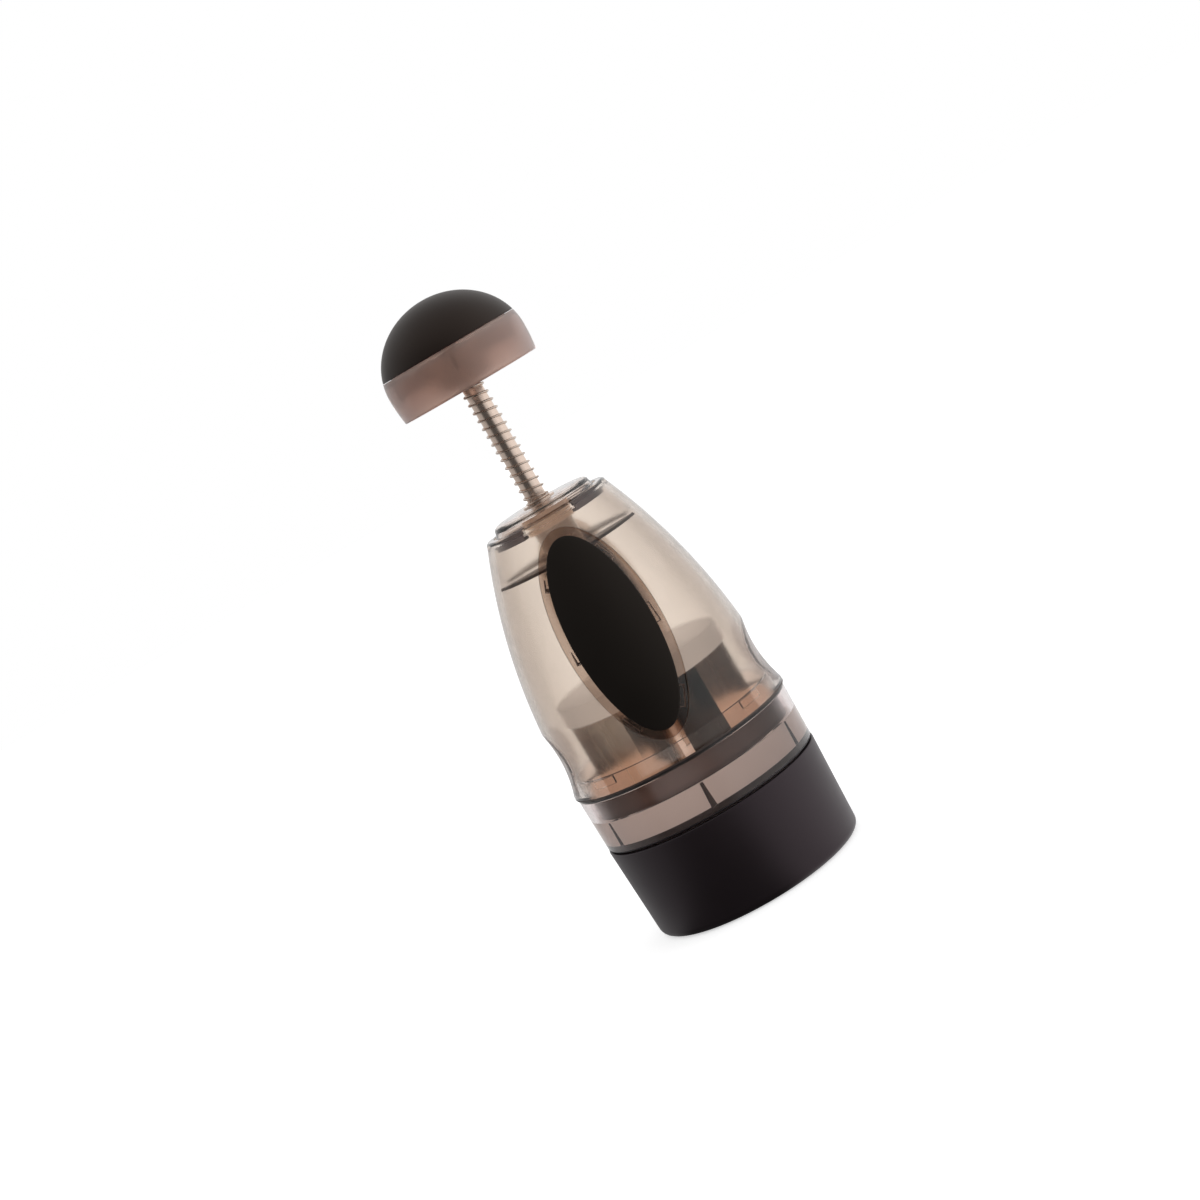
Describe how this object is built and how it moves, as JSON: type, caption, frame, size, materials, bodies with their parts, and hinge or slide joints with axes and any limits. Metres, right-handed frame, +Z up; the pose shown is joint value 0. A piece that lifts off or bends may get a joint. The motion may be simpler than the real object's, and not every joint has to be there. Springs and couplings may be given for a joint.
{
  "type": "plunger food chopper",
  "caption": "Hand food chopper: a sprung dome-knob plunger drives folded blades through a wiper plate in a smoked barrel housing over a black base cup.",
  "frame": {"origin": "centre of the base cup's foot, on the surface that the chopper stands on", "axes": "+Z up along the plunger's axis, -Y towards the front grip pad, +X towards a finger dimple"},
  "size_m": [0.0864, 0.0866, 0.2408],
  "materials": {
    "black_plastic": "satin",
    "knob_black": "satin",
    "grip_rubber": "matte",
    "smoked_plastic": "clear, smoked brown",
    "frosted_smoke": "frosted inside",
    "dark_plastic": "satin",
    "light_plastic": "satin",
    "seal_rubber": "matte",
    "polished_steel": "polished",
    "blade_steel": "brushed",
    "bush_plastic": "natural"
  },
  "bodies": {
    "cup": {"base_cup": "black_plastic"},
    "chamber": {"chamber_ring": "smoked_plastic", "chamber_seal": "seal_rubber"},
    "housing": {"housing_shell": "smoked_plastic", "front_grip_pad": "grip_rubber", "rear_grip_pad": "grip_rubber", "top_cap": "smoked_plastic", "guide_bush": "bush_plastic", "guide_tube": "smoked_plastic", "spring_washer": "polished_steel", "return_spring": "polished_steel"},
    "plunger": {"knob_body": "frosted_smoke", "knob_cap": "knob_black", "knob_screw": "polished_steel", "plunger_rod": "polished_steel", "stop_clip": "polished_steel", "spring_seat": "polished_steel", "carrier_washer": "polished_steel", "carrier_screw": "polished_steel"},
    "blade_head": {"blade_carrier": "light_plastic", "index_ratchet": "bush_plastic", "left_zigzag_blade": "blade_steel", "right_zigzag_blade": "blade_steel"},
    "wiper": {"wiper_plate": "dark_plastic"}
  },
  "joints": [
    {"name": "cup_release", "type": "slide", "parent": "cup", "child": "chamber", "axis": [0, 0, 1], "range_m": [0, 0.03]},
    {"name": "housing_twist", "type": "hinge", "parent": "chamber", "child": "housing", "pos_m": [0, 0, 0.0593], "axis": [0, 0, 1], "range_deg": [0, 25]},
    {"name": "plunger_stroke", "type": "slide", "parent": "housing", "child": "plunger", "axis": [0, 0, -1], "range_m": [0, 0.032], "stiffness_N_per_m": 450, "springref_m": -0.01, "deforming": ["return_spring"]},
    {"name": "blade_index", "type": "hinge", "parent": "plunger", "child": "blade_head", "pos_m": [0, 0, 0.09], "axis": [0, 0, 1], "range_deg": [0, 30]},
    {"name": "wiper_turn", "type": "hinge", "parent": "housing", "child": "wiper", "pos_m": [0, 0, 0.0496], "axis": [0, 0, 1], "range_deg": [0, 30]}
  ],
  "couplings": [
    {"joint": "blade_index", "follows": "plunger_stroke", "rad_per_m": 16.36},
    {"joint": "wiper_turn", "follows": "plunger_stroke", "rad_per_m": 16.36}
  ]
}
